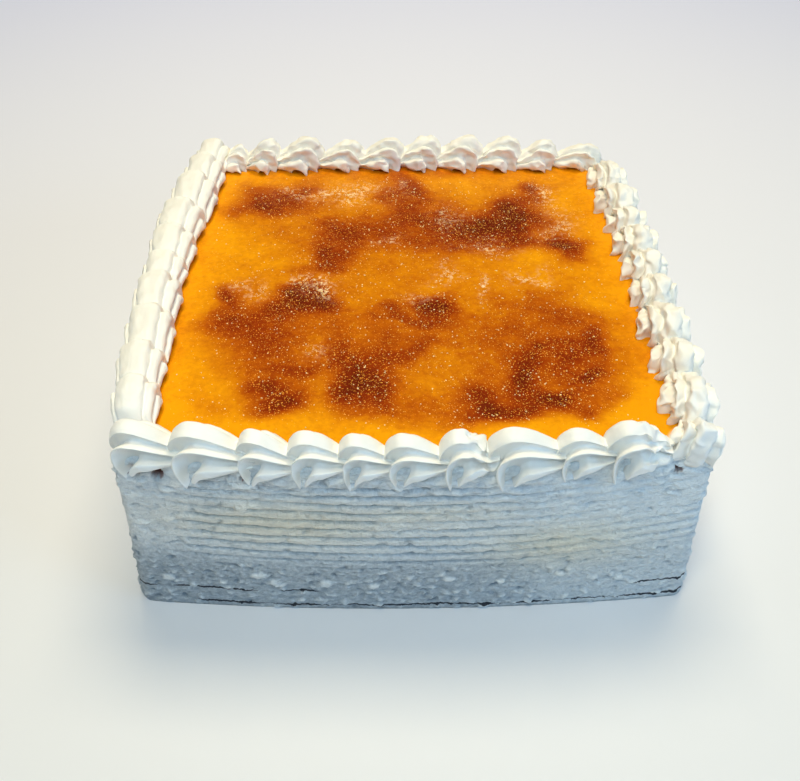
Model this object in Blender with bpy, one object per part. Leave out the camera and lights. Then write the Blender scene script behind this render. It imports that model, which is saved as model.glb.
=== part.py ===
"""A square San Marcos cake: a block coated in whipped cream whose sides were drawn with a comb, a slab of
toasted egg yolk set into its top, and one row of piped cream shells along each edge.

Metres, +Z up. The origin is the centre of the base. Each row is piped from one corner towards the next,
anticlockwise seen from above, so every row starts with a fat shell that covers the tail of the row before.
"""

import math
import random

import bmesh
import bpy
from mathutils import Vector

# The block, measured over its cream coat. A bow is how far a side swells past the line between its corners.
WIDTH = 0.210
DEPTH = 0.216
HEIGHT = 0.077
FRONT_BOW, RIGHT_BOW, BACK_BOW, LEFT_BOW = 0.0050, 0.0045, 0.0020, 0.0070
FRONT_TOP_BOW = 0.0080  # the front swells more towards its top
CORNER_RADIUS = 0.004
FOOT_FLARE = 0.0034  # the cream spreads where it meets the board
EDGE_DROP = 0.0050  # height of the soft edge between the sides and the top

# The comb's grooves.
COMB_PITCH = 0.0044
COMB_DEPTH = 0.0011
COMB_LOW, COMB_HIGH = 0.0130, 0.0690
BASE_BAND_SEAM = 0.0105  # height of the cracked line above the base band
SEAM_DEPTH = 0.0009

# The toasted yolk, which lies in the top of the block inside a lip of cream.
LIP = 0.0050
YOLK_THICKNESS = 0.0040
YOLK_SAG = 0.0005
GAP = 0.0003  # kept between pieces that touch

# The piped shells. A shell of size 1 has this height and half-width.
SHELL_HALF_WIDTH = 0.0094
SHELL_HEIGHT = 0.0128  # above the top of the block
SHELL_SKIRT = 0.0045  # how far below the top a shell's foot reaches, where it hangs over the edge
SHELL_TWIST = 4.0  # degrees that a shell may lie off its row's line, either way
LOBES = 8  # points of the star nozzle
LOBE_FLAT = 0.29  # half the width of a lobe's flat top, as a share of the way to the next lobe
GROOVE_DEPTH = 0.30  # as a share of the radius

# Each row's shells in the order they were piped: length along the row and size.
FRONT_SHELLS = (
    (0.0210, 1.08), (0.0225, 1.14), (0.0170, 1.05), (0.0170, 1.00), (0.0155, 0.97),
    (0.0180, 0.99), (0.0170, 1.04), (0.0225, 1.12), (0.0170, 0.95), (0.0190, 1.12),
)
RIGHT_SHELLS = (
    (0.0145, 1.00), (0.0240, 1.10), (0.0200, 1.10), (0.0230, 1.10), (0.0190, 1.05),
    (0.0180, 1.08), (0.0205, 1.12), (0.0155, 1.00), (0.0215, 1.10), (0.0220, 1.02),
)
BACK_SHELLS = (
    (0.0220, 0.84), (0.0180, 1.00), (0.0200, 1.08), (0.0205, 1.12), (0.0190, 1.10),
    (0.0200, 1.05), (0.0205, 0.96), (0.0215, 1.13), (0.0160, 1.10), (0.0125, 0.88),
)
LEFT_SHELLS = (
    (0.0175, 1.00), (0.0195, 1.12), (0.0240, 1.22), (0.0210, 1.18), (0.0200, 1.15),
    (0.0160, 1.05), (0.0220, 1.10), (0.0225, 1.08), (0.0190, 1.03), (0.0165, 0.98),
)

# How finely the solids are cut.
SIDE_STEPS, CORNER_STEPS = 5, 3
YOLK_RINGS = 5
SHELL_SECTIONS = 7
ROW_TRIANGLES = 2780  # left in a row once the small facets that fusing makes are collapsed


class Row:
    """A row of shells: where its first one starts, how far in from the side its middle lies, and its lean.

    tilt turns the row outwards about its own line, in degrees, as it lies on the block's soft edge.
    """

    def __init__(self, shells, begin, inset, tilt, seed):
        self.shells = shells
        self.begin = begin
        self.inset = inset
        self.tilt = math.radians(tilt)
        self.seed = seed


class Side:
    """One side of the block, which starts at a corner and swells by its bow halfway along."""

    def __init__(self, name, start, direction, length, base_bow, top_bow, row):
        self.name = name
        self.start = Vector(start)
        self.direction = Vector(direction)
        self.outward = Vector((direction[1], -direction[0]))
        self.length = length
        self.base_bow = base_bow
        self.top_bow = top_bow
        self.row = row

    def point(self, along, offset, height=HEIGHT):
        """The plan position at a distance along the side, offset outwards from it, at a height."""
        bow = self.base_bow + (self.top_bow - self.base_bow) * height / HEIGHT
        swell = bow * (1 - (2 * along / self.length - 1) ** 2)
        return self.start + self.direction * along + self.outward * (offset + swell)

    def heading(self, along):
        """The unit direction of the side's top edge there."""
        slope = -4 * self.top_bow / self.length * (2 * along / self.length - 1)
        return (self.direction + self.outward * slope).normalized()


FRONT_ROW = Row(FRONT_SHELLS, begin=0.003, inset=0.0068, tilt=14, seed=11)
RIGHT_ROW = Row(RIGHT_SHELLS, begin=-0.0015, inset=0.0092, tilt=6, seed=23)
BACK_ROW = Row(BACK_SHELLS, begin=0.007, inset=0.0100, tilt=4, seed=37)
LEFT_ROW = Row(LEFT_SHELLS, begin=0.0, inset=0.0092, tilt=6, seed=41)

# The bows differ, so the corners are shifted to keep the outermost points centred on the origin.
LEFT = -WIDTH / 2 + (LEFT_BOW - RIGHT_BOW) / 2
RIGHT = LEFT + WIDTH
FRONT = -DEPTH / 2 + (FRONT_TOP_BOW - BACK_BOW) / 2
BACK = FRONT + DEPTH
SIDES = (
    Side("front", (LEFT, FRONT), (1, 0), WIDTH, FRONT_BOW, FRONT_TOP_BOW, FRONT_ROW),
    Side("right", (RIGHT, FRONT), (0, 1), DEPTH, RIGHT_BOW, RIGHT_BOW, RIGHT_ROW),
    Side("back", (RIGHT, BACK), (-1, 0), WIDTH, BACK_BOW, BACK_BOW, BACK_ROW),
    Side("left", (LEFT, BACK), (0, -1), DEPTH, LEFT_BOW, LEFT_BOW, LEFT_ROW),
)


def clear_scene():
    for obj in list(bpy.data.objects):
        bpy.data.objects.remove(obj)


def make_material(name, colour, roughness):
    material = bpy.data.materials.new(name)
    material.use_nodes = True
    shader = material.node_tree.nodes["Principled BSDF"]
    shader.inputs["Base Color"].default_value = (*colour, 1)
    shader.inputs["Roughness"].default_value = roughness
    shader.inputs["Metallic"].default_value = 0
    return material


def add_object(name, mesh, material=None):
    """An object of this bmesh, with its faces turned outwards."""
    bmesh.ops.recalc_face_normals(mesh, faces=mesh.faces)
    data = bpy.data.meshes.new(name)
    mesh.to_mesh(data)
    mesh.free()
    if material:
        data.materials.append(material)
    obj = bpy.data.objects.new(name, data)
    bpy.context.scene.collection.objects.link(obj)
    return obj


def outline(offset, height=HEIGHT):
    """The block's rounded outline in plan at a height, offset outwards, as a closed list of points."""
    radius = max(CORNER_RADIUS + offset, 0.001)
    points = []
    for side, following in zip(SIDES, SIDES[1:] + SIDES[:1]):
        first = radius - offset
        last = side.length + offset - radius
        for step in range(SIDE_STEPS):
            points.append(side.point(first + (last - first) * step / SIDE_STEPS, offset, height))
        into, out_of = side.point(last, offset, height), following.point(first, offset, height)
        corner = following.start + (side.outward + side.direction) * offset
        for step in range(CORNER_STEPS):
            share = step / CORNER_STEPS
            points.append(
                into * (1 - share) ** 2 + corner * 2 * share * (1 - share) + out_of * share**2
            )
    return points


def stacked_rings(profile):
    """A closed solid through rings of the outline. The profile lists (offset, height) from the base up."""
    mesh = bmesh.new()
    rings = [
        [mesh.verts.new((*point, height)) for point in outline(offset, height)]
        for offset, height in profile
    ]
    for lower, upper in zip(rings, rings[1:]):
        bridge(mesh, lower, upper)
    mesh.faces.new(rings[0])
    mesh.faces.new(rings[-1])
    return mesh


def bridge(mesh, lower, upper):
    """Joins two rings of as many points with a band of faces."""
    count = len(lower)
    for i in range(count):
        j = (i + 1) % count
        mesh.faces.new((lower[i], lower[j], upper[j], upper[i]))


def flare(height):
    """How far the side stands out at this height because the cream spreads towards the base."""
    return FOOT_FLARE * max(0.0, 1 - height / (HEIGHT - EDGE_DROP)) ** 1.5


def body_profile():
    """Offset and height of the block's side, from the base up, over its edge and down into the recess."""
    draw = random.Random(5)
    band_edge = flare(BASE_BAND_SEAM)
    profile = [
        (flare(0) - 0.0012, 0.0),
        (flare(0), 0.0014),
        (flare(BASE_BAND_SEAM * 0.57), BASE_BAND_SEAM * 0.57),
        (band_edge + 0.0003, BASE_BAND_SEAM - 0.0015),
        (band_edge - SEAM_DEPTH, BASE_BAND_SEAM),
        (band_edge + 0.0002, BASE_BAND_SEAM + 0.0012),
    ]
    ridges = round((COMB_HIGH - COMB_LOW) / COMB_PITCH)
    for i in range(ridges):
        low = COMB_LOW + (i + 0.35) * COMB_PITCH
        depth = COMB_DEPTH * draw.uniform(0.7, 1.15)
        profile.append((flare(low) - depth / 2, low))
        profile.append((flare(low) + depth / 2, low + COMB_PITCH * draw.uniform(0.45, 0.6)))
    profile += [
        (0.0, HEIGHT - EDGE_DROP),
        (-0.0006, HEIGHT - EDGE_DROP * 0.45),
        (-0.0020, HEIGHT - EDGE_DROP * 0.1),
        (-0.0034, HEIGHT),
        (-LIP, HEIGHT),
        (-LIP, HEIGHT - YOLK_THICKNESS - GAP),
    ]
    return profile


def make_body(material):
    return add_object("cake_body", stacked_rings(body_profile()), material)


def yolk_surface(x, y):
    """Height of the toasted top there: nearly level, with broad shallow hollows."""
    waves = math.sin(x * 61 + 0.6) * math.cos(y * 47 - 0.4) + 0.6 * math.sin((x + y) * 93 + 1.3)
    return HEIGHT - GAP / 2 - YOLK_SAG * (0.5 + 0.31 * waves)


def make_yolk(material):
    """The slab: concentric rings on top, a straight edge and a flat underside."""
    mesh = bmesh.new()
    edge = outline(-LIP - GAP)
    underside = HEIGHT - YOLK_THICKNESS
    rings = [[mesh.verts.new((*point, underside)) for point in edge]]
    for ring in range(YOLK_RINGS):
        scale = 1 - ring / YOLK_RINGS
        spots = [point * scale for point in edge]
        rings.append([mesh.verts.new((*spot, yolk_surface(*spot))) for spot in spots])
    for lower, upper in zip(rings, rings[1:]):
        bridge(mesh, lower, upper)
    middle = mesh.verts.new((0, 0, yolk_surface(0, 0)))
    inner = rings[-1]
    for i, vertex in enumerate(inner):
        mesh.faces.new((vertex, inner[(i + 1) % len(inner)], middle))
    mesh.faces.new(rings[0])
    return add_object("yolk_top", mesh, material)


def along_curve(points, share):
    """The smooth curve through evenly spaced points, at a share of its length from 0 to 1."""
    position = share * (len(points) - 1)
    i = min(int(position), len(points) - 2)
    t = position - i
    before = points[max(i - 1, 0)]
    start, end = points[i], points[i + 1]
    after = points[min(i + 2, len(points) - 1)]
    return [
        0.5 * (2 * b + (c - a) * t + (2 * a - 5 * b + 4 * c - d) * t * t + (3 * b - a - 3 * c + d) * t**3)
        for a, b, c, d in zip(before, start, end, after)
    ]


# The path of a shell, from its fat start to its tail. The crest is the shell's ridge line and the root the
# line that its lobes fan out from. Places along the row are shares of the shell's length, and heights of
# its height.
SHELL_PATH = (
    # crest along, crest up, root along, root up, half-width
    (0.05, -0.36, 0.50, 0.04, 0.84),
    (-0.07, 0.22, 0.54, 0.08, 0.97),
    (-0.03, 0.66, 0.57, 0.11, 1.00),
    (0.17, 0.98, 0.61, 0.13, 1.00),
    (0.43, 0.98, 0.67, 0.12, 0.94),
    (0.71, 0.76, 0.78, 0.09, 0.82),
    (0.98, 0.47, 0.95, 0.05, 0.63),
    (1.24, 0.21, 1.16, 0.01, 0.42),
)


def star_profile():
    """The upper half of the nozzle's star, from its outer to its inner side: flat lobes and sharp grooves."""
    lobe = 2 * math.pi / LOBES
    flat = lobe * LOBE_FLAT
    marks = [(0.0, 1.0), (flat, 1.0)]
    for i in range(1, LOBES // 2 + 1):
        middle = i * lobe
        marks += [(middle - lobe / 2, 1 - GROOVE_DEPTH), (middle - flat, 1.0), (middle + flat, 1.0)]
    marks[-1] = (math.pi, 1.0)
    return [(radius * math.cos(angle), radius * math.sin(angle)) for angle, radius in marks]


def shell_mesh(side, along, length, size, twist, grow=0.0):
    """One shell. It starts at a distance along the side; grow thickens it all over."""
    row = side.row
    heading = side.heading(along + length / 2)
    heading = (heading * math.cos(twist) + side.outward * math.sin(twist)).normalized()
    forward = Vector((*heading, 0))
    outwards = Vector((heading.y, -heading.x, 0))
    up = Vector((0, 0, 1))
    across = outwards * math.cos(row.tilt) - up * math.sin(row.tilt)
    rise = up * math.cos(row.tilt) + outwards * math.sin(row.tilt)
    start = Vector((*side.point(along, -row.inset), HEIGHT))
    height = SHELL_HEIGHT * size
    star = star_profile()
    mesh = bmesh.new()
    rings = []
    for section in range(SHELL_SECTIONS):
        crest_on, crest_up, root_on, root_up, wide = along_curve(
            SHELL_PATH, section / (SHELL_SECTIONS - 1)
        )
        root = start + forward * root_on * length + rise * root_up * height
        crest = start + forward * crest_on * length + rise * crest_up * height
        stem = crest - root
        stem *= 1 + grow / stem.length
        half_width = SHELL_HALF_WIDTH * size * wide + grow
        ring = [root + across * half_width * k + stem * g for k, g in star]
        for foot, inwards in ((ring[-1], 1), (ring[0], -1)):
            skirt = foot + across * inwards * GROOVE_DEPTH * half_width
            ring.append(Vector((*skirt.xy, HEIGHT - SHELL_SKIRT - grow)))
        rings.append([mesh.verts.new(spot) for spot in ring])
    for lower, upper in zip(rings, rings[1:]):
        bridge(mesh, lower, upper)
    mesh.faces.new(rings[0])
    mesh.faces.new(rings[-1])
    bmesh.ops.triangulate(mesh, faces=mesh.faces)
    return mesh


def row_plan(side):
    """Where each shell of the row starts, with its length, its size and its twist."""
    draw = random.Random(side.row.seed)
    along = side.row.begin
    plan = []
    for length, size in side.row.shells:
        twist = math.radians(draw.uniform(-SHELL_TWIST, SHELL_TWIST))
        plan.append((along, length, size, twist))
        along += length
    return plan


def apply_modifiers(obj):
    """Gives the object the mesh that its modifiers make, and removes them."""
    graph = bpy.context.evaluated_depsgraph_get()
    made = bpy.data.meshes.new_from_object(obj.evaluated_get(graph))
    obj.modifiers.clear()
    obj.data = made


def apply_boolean(obj, operation, collection):
    """Joins or cuts the object with the collection's objects, then removes them."""
    modifier = obj.modifiers.new(operation.title(), "BOOLEAN")
    modifier.operation = operation
    modifier.operand_type = "COLLECTION"
    modifier.collection = collection
    modifier.solver = "MANIFOLD"
    apply_modifiers(obj)
    for other in list(collection.objects):
        bpy.data.objects.remove(other)
    bpy.data.collections.remove(collection)


def collapse_small_facets(obj, triangles):
    """Collapses the edges that shape the object least, down to this many triangles."""
    count = sum(len(face.vertices) - 2 for face in obj.data.polygons)
    modifier = obj.modifiers.new("Collapse", "DECIMATE")
    modifier.ratio = min(1.0, triangles / count)
    apply_modifiers(obj)


def collected(name, objects):
    """A collection that holds just these objects."""
    collection = bpy.data.collections.new(name)
    bpy.context.scene.collection.children.link(collection)
    for obj in objects:
        bpy.context.scene.collection.objects.unlink(obj)
        collection.objects.link(obj)
    return collection


def bed():
    """What the rows lie on: the block and the yolk, a gap larger all over."""
    profile = [
        (-0.010, HEIGHT - 0.030),
        (GAP, HEIGHT - 0.020),
        (GAP, HEIGHT - EDGE_DROP),
        (GAP - 0.0005, HEIGHT - EDGE_DROP * 0.4),
        (GAP - 0.0017, HEIGHT),
        (GAP - 0.0032, HEIGHT + GAP),
    ]
    return add_object("bed", stacked_rings(profile))


def keep_largest_piece(obj):
    """Drops loose scraps that cutting left behind."""
    mesh = bmesh.new()
    mesh.from_mesh(obj.data)
    unseen = set(mesh.verts)
    pieces = []
    while unseen:
        stack = [unseen.pop()]
        piece = set(stack)
        while stack:
            for edge in stack.pop().link_edges:
                for vertex in edge.verts:
                    if vertex in unseen:
                        unseen.remove(vertex)
                        piece.add(vertex)
                        stack.append(vertex)
        pieces.append(piece)
    largest = max(pieces, key=len)
    scraps = [vertex for vertex in mesh.verts if vertex not in largest]
    bmesh.ops.delete(mesh, geom=scraps, context="VERTS")
    mesh.to_mesh(obj.data)
    mesh.free()


def drop_flaps(obj):
    """Deletes a facet that collapsing has left hanging by one edge."""
    mesh = bmesh.new()
    mesh.from_mesh(obj.data)
    flaps = {edge.link_faces[0] for edge in mesh.edges if len(edge.link_faces) == 1}
    bmesh.ops.delete(mesh, geom=list(flaps), context="FACES")
    mesh.to_mesh(obj.data)
    mesh.free()


def make_row(side, following, material):
    """A row of shells, fused, cut to its bed and cut round the first shells of the next row."""
    shells = [
        add_object(f"shell_{i}", shell_mesh(side, *place)) for i, place in enumerate(row_plan(side))
    ]
    row = shells[0]
    apply_boolean(row, "UNION", collected("shells", shells[1:]))
    cutters = [bed()]
    for place in row_plan(following)[:2]:
        cutters.append(add_object("corner_shell", shell_mesh(following, *place, grow=1.4 * GAP)))
    apply_boolean(row, "DIFFERENCE", collected("cutters", cutters))
    keep_largest_piece(row)
    collapse_small_facets(row, ROW_TRIANGLES)
    drop_flaps(row)
    row.name = row.data.name = f"border_{side.name}"
    row.data.materials.clear()
    row.data.materials.append(material)
    return row


def main():
    clear_scene()
    cream = make_material("cream", (0.86, 0.85, 0.80), 0.55)
    yolk = make_material("toasted_yolk", (0.80, 0.30, 0.02), 0.32)
    make_body(cream)
    make_yolk(yolk)
    for side, following in zip(SIDES, SIDES[1:] + SIDES[:1]):
        make_row(side, following, cream)


main()
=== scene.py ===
"""The looks of a square San Marcos cake: combed cream, toasted yolk with sugar, and piped shells.

Metres, +Z up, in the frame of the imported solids. Every piece of the cake stands for one of those
solids or lies on one, so the block, the yolk and the rows repeat the solids' sizes and are only
finer.
"""

import math
import random

import bmesh
import bpy
import numpy as np
from mathutils import Euler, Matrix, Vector, noise


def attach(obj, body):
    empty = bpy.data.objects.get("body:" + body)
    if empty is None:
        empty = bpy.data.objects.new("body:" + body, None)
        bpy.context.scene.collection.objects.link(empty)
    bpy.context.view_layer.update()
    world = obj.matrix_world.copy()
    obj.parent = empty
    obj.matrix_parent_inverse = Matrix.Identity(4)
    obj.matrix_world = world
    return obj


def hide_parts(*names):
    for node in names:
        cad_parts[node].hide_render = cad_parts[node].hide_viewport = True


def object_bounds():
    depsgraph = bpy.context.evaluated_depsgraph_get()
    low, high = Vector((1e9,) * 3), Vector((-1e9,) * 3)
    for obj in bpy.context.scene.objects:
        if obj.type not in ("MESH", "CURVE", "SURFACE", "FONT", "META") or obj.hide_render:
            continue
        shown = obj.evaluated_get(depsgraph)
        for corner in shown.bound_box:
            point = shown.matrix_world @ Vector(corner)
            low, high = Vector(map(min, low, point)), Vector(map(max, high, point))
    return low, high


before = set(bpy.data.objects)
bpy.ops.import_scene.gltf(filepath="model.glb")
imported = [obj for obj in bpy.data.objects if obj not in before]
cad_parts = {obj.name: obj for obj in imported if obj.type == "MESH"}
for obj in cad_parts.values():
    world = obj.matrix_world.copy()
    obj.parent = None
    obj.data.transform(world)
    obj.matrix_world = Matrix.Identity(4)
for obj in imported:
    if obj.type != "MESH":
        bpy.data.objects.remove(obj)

SOLID_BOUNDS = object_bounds()
UP = np.array((0.0, 0.0, 1.0))

# The block, as in the solids. A bow is how far a side swells past the line between its corners.
WIDTH = 0.210
DEPTH = 0.216
HEIGHT = 0.077
FRONT_BOW, RIGHT_BOW, BACK_BOW, LEFT_BOW = 0.0050, 0.0045, 0.0020, 0.0070
FRONT_TOP_BOW = 0.0080
CORNER_RADIUS = 0.004
FOOT_FLARE = 0.0034
EDGE_DROP = 0.0050
COMB_PITCH = 0.0044
# The cream round the recess is a lip wide, and nothing on the sides stands out more than the limit.
LIP = 0.0050
RELIEF_LIMIT = 0.0009
YOLK_THICKNESS = 0.0040
YOLK_SAG = 0.0005
GAP = 0.0003

# The rows of shells, as in the solids.
SHELL_HALF_WIDTH = 0.0094
SHELL_HEIGHT = 0.0128
SHELL_SKIRT = 0.0045
SHELL_TWIST = 4.0
FOOT_HANG = 0.0036
TORN_SHELLS = (6, 9)
FRONT_SHELLS = (
    (0.0210, 1.08), (0.0225, 1.14), (0.0170, 1.05), (0.0170, 1.00), (0.0155, 0.97),
    (0.0180, 0.99), (0.0170, 1.04), (0.0225, 1.12), (0.0170, 0.95), (0.0190, 1.12),
)
RIGHT_SHELLS = (
    (0.0145, 1.00), (0.0240, 1.10), (0.0200, 1.10), (0.0230, 1.10), (0.0190, 1.05),
    (0.0180, 1.08), (0.0205, 1.12), (0.0155, 1.00), (0.0215, 1.10), (0.0220, 1.02),
)
BACK_SHELLS = (
    (0.0220, 0.84), (0.0180, 1.00), (0.0200, 1.08), (0.0205, 1.12), (0.0190, 1.10),
    (0.0200, 1.05), (0.0205, 0.96), (0.0215, 1.13), (0.0160, 1.10), (0.0125, 0.88),
)
LEFT_SHELLS = (
    (0.0175, 1.00), (0.0195, 1.12), (0.0240, 1.22), (0.0210, 1.18), (0.0200, 1.15),
    (0.0160, 1.05), (0.0220, 1.10), (0.0225, 1.08), (0.0190, 1.03), (0.0165, 0.98),
)

# How finely the coat and the yolk are cut.
COAT_COLUMNS = {"front": 300, "right": 150, "back": 100, "left": 150}
CORNER_COLUMNS = 9
COAT_ROW_HEIGHT = 0.00065
YOLK_COLUMNS = 290
PROFILE_STEPS = 4
SHELL_SECTIONS = 40


class Row:
    """A row of shells: where it starts, how far in from the side it lies, and its lean in degrees.

    fill is how little its tails narrow, and loose how far its cream strays, in metres.
    """

    def __init__(self, shells, begin, inset, tilt, seed, fill=0.0, loose=0.0):
        self.shells = shells
        self.begin = begin
        self.inset = inset
        self.tilt = math.radians(tilt)
        self.seed = seed
        self.fill = fill
        self.loose = loose


class Side:
    """One side of the block, which starts at a corner and swells by its bow halfway along."""

    def __init__(self, name, start, direction, length, base_bow, top_bow, row):
        self.name = name
        self.start = np.array(start)
        self.direction = np.array(direction, float)
        self.outward = np.array((direction[1], -direction[0]), float)
        self.length = length
        self.base_bow = base_bow
        self.top_bow = top_bow
        self.row = row

    def point(self, along, offset, height=HEIGHT):
        """The place on the side at a height, offset outwards."""
        bow = self.base_bow + (self.top_bow - self.base_bow) * height / HEIGHT
        swell = bow * (1 - (2 * along / self.length - 1) ** 2)
        return self.start + self.direction * along + self.outward * (offset + swell)

    def heading(self, along):
        """The way along the top of the side."""
        slope = -4 * self.top_bow / self.length * (2 * along / self.length - 1)
        heading = self.direction + self.outward * slope
        return heading / np.linalg.norm(heading)


LEFT = -WIDTH / 2 + (LEFT_BOW - RIGHT_BOW) / 2
RIGHT = LEFT + WIDTH
FRONT = -DEPTH / 2 + (FRONT_TOP_BOW - BACK_BOW) / 2
BACK = FRONT + DEPTH
FRONT_ROW = Row(FRONT_SHELLS, begin=0.003, inset=0.0068, tilt=14, seed=11)
RIGHT_ROW = Row(RIGHT_SHELLS, begin=-0.0015, inset=0.0092, tilt=6, seed=23, loose=0.0015)
BACK_ROW = Row(BACK_SHELLS, begin=0.007, inset=0.0100, tilt=4, seed=37, loose=0.0012)
LEFT_ROW = Row(LEFT_SHELLS, begin=0.0, inset=0.0092, tilt=6, seed=41, fill=0.65, loose=0.0005)
SIDES = (
    Side("front", (LEFT, FRONT), (1, 0), WIDTH, FRONT_BOW, FRONT_TOP_BOW, FRONT_ROW),
    Side("right", (RIGHT, FRONT), (0, 1), DEPTH, RIGHT_BOW, RIGHT_BOW, RIGHT_ROW),
    Side("back", (RIGHT, BACK), (-1, 0), WIDTH, BACK_BOW, BACK_BOW, BACK_ROW),
    Side("left", (LEFT, BACK), (0, -1), DEPTH, LEFT_BOW, LEFT_BOW, LEFT_ROW),
)


# ---------------------------------------------------------------- small tools


def bumps(points, size, seed=0):
    """Smooth noise of about -1 to 1 at each point. size is the bumps' size along x, y and z."""
    spots = (points / np.array(size) + 13.7 * seed).tolist()
    return np.array([noise.noise(spot) for spot in spots])


def rough(points, size, octaves, seed=0):
    """Noise with finer and finer bumps on its broad ones."""
    total = sum(bumps(points, np.array(size) / 2**i, seed + i) / 2**i for i in range(octaves))
    return total / 1.4


def smooth_step(low, high, value):
    """Goes smoothly from 0 at low to 1 at high, whichever of them is greater."""
    share = np.clip((value - low) / (high - low), 0, 1)
    return share * share * (3 - 2 * share)


def along_curve(points, share):
    """The smooth curve through evenly spaced points, at a share of its length from 0 to 1."""
    position = share * (len(points) - 1)
    i = min(int(position), len(points) - 2)
    t = position - i
    a, b, c, d = (points[min(max(i + k, 0), len(points) - 1)] for k in (-1, 0, 1, 2))
    square, cube = 2 * a - 5 * b + 4 * c - d, 3 * b - a - 3 * c + d
    return 0.5 * (2 * b + (c - a) * t + square * t**2 + cube * t**3)


def add_piece(name, points, faces, material):
    """A smooth-shaded object of these points and faces, with its faces turned outwards."""
    data = bpy.data.meshes.new(name)
    data.from_pydata(np.asarray(points).tolist(), [], faces)
    data.materials.append(material)
    data.shade_smooth()
    mesh = bmesh.new()
    mesh.from_mesh(data)
    bmesh.ops.recalc_face_normals(mesh, faces=mesh.faces)
    mesh.to_mesh(data)
    mesh.free()
    piece = bpy.data.objects.new(name, data)
    bpy.context.scene.collection.objects.link(piece)
    return piece


def add_attribute(piece, name, values):
    """Gives each point of the piece a value that its material reads."""
    attribute = piece.data.attributes.new(name, "FLOAT", "POINT")
    attribute.data.foreach_set("value", np.asarray(values, np.float32))


def ring_faces(rings, columns):
    """Quads between stacked rings of points, each ring closed on itself."""
    faces = []
    for ring in range(rings - 1):
        low, high = ring * columns, (ring + 1) * columns
        for i in range(columns):
            j = (i + 1) % columns
            faces.append((low + i, low + j, high + j, high + i))
    return faces


def plain_mesh(piece):
    """Gives the piece the mesh that its modifiers make, and removes them."""
    graph = bpy.context.evaluated_depsgraph_get()
    made = bpy.data.meshes.new_from_object(piece.evaluated_get(graph))
    piece.modifiers.clear()
    piece.data = made


# ---------------------------------------------------------------- materials


def new_material(name, colour, roughness):
    """A material, its node tree and its shader, with the constants set on the shader."""
    material = bpy.data.materials.new(name)
    material.use_nodes = True
    tree = material.node_tree
    shader = tree.nodes["Principled BSDF"]
    shader.inputs["Base Color"].default_value = (*colour, 1)
    shader.inputs["Roughness"].default_value = roughness
    return material, tree, shader


def noise_node(tree, scale, detail=4.0, roughness=0.55, stretch=(1, 1, 1)):
    """A noise texture on the piece's own coordinates, with bumps of 1 / scale metres."""
    place = tree.nodes.new("ShaderNodeTexCoord")
    mapping = tree.nodes.new("ShaderNodeMapping")
    mapping.inputs["Scale"].default_value = stretch
    texture = tree.nodes.new("ShaderNodeTexNoise")
    texture.inputs["Scale"].default_value = scale
    texture.inputs["Detail"].default_value = detail
    texture.inputs["Roughness"].default_value = roughness
    tree.links.new(place.outputs["Object"], mapping.inputs["Vector"])
    tree.links.new(mapping.outputs["Vector"], texture.inputs["Vector"])
    return texture.outputs["Fac"]


def attribute_node(tree, name):
    """A value that each point of the mesh holds."""
    node = tree.nodes.new("ShaderNodeAttribute")
    node.attribute_name = name
    return node.outputs["Fac"]


def math_node(tree, operation, first, second, clamp=False):
    """A sum, product or other operation on sockets or numbers."""
    node = tree.nodes.new("ShaderNodeMath")
    node.operation = operation
    node.use_clamp = clamp
    for socket, value in zip(node.inputs, (first, second)):
        if isinstance(value, (int, float)):
            socket.default_value = value
        else:
            tree.links.new(value, socket)
    return node.outputs[0]


def scaled_node(tree, value, zero, factor, clamp=False):
    """How far a value lies above zero, times a factor."""
    return math_node(tree, "MULTIPLY", math_node(tree, "SUBTRACT", value, zero), factor, clamp)


def axis_node(tree, axis):
    """One of the piece's own coordinates: X, Y or Z."""
    place = tree.nodes.new("ShaderNodeTexCoord")
    parts = tree.nodes.new("ShaderNodeSeparateXYZ")
    tree.links.new(place.outputs["Object"], parts.inputs[0])
    return parts.outputs[axis]


def ramp_node(tree, value, stops):
    """A colour ramp. The stops list (position, colour)."""
    node = tree.nodes.new("ShaderNodeValToRGB")
    ramp = node.color_ramp
    while len(ramp.elements) < len(stops):
        ramp.elements.new(0.5)
    for element, (position, colour) in zip(ramp.elements, stops):
        element.position = position
        element.color = (*colour, 1)
    tree.links.new(value, node.inputs["Fac"])
    return node.outputs["Color"]


def mix_node(tree, share, first, second, blend="MIX"):
    """Mixes two colours, given as sockets or as values, by a share."""
    node = tree.nodes.new("ShaderNodeMix")
    node.data_type = "RGBA"
    node.blend_type = blend
    for name, value in (("Factor", share), ("A", first), ("B", second)):
        sockets = [s for s in node.inputs if s.name == name and s.enabled]
        socket = sockets[0]
        if isinstance(value, (int, float)):
            socket.default_value = value
        elif isinstance(value, tuple):
            socket.default_value = (*value, 1)
        else:
            tree.links.new(value, socket)
    return [s for s in node.outputs if s.enabled][0]


def bump_node(tree, height, distance, strength=1.0, normal=None):
    """Bumps of a height times a distance in metres, on top of another normal if there is one."""
    node = tree.nodes.new("ShaderNodeBump")
    node.inputs["Strength"].default_value = strength
    node.inputs["Distance"].default_value = distance
    tree.links.new(height, node.inputs["Height"])
    if normal is not None:
        tree.links.new(normal, node.inputs["Normal"])
    return node.outputs["Normal"]


CREAM_COLOUR = (0.90, 0.885, 0.835)
CRACK_SHADE_COLOUR = (0.035, 0.040, 0.050)
SPONGE_COLOUR = (0.22, 0.045, 0.015)
POWDER_COLOUR = (0.95, 0.70, 0.43)
PAINTED_GLINT_COLOUR = (1.0, 0.40, 0.045)
# The coat's colours from the painted shade of its deepest grooves to the painted light on its
# palest flecks.
COAT_SHADE_TO_LIGHT_TONES = (
    (0.02, (0.26, 0.31, 0.36)),
    (0.25, (0.42, 0.46, 0.50)),
    (0.50, (0.67, 0.70, 0.725)),
    (0.74, (0.86, 0.865, 0.865)),
    (0.98, (0.97, 0.965, 0.95)),
)
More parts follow.
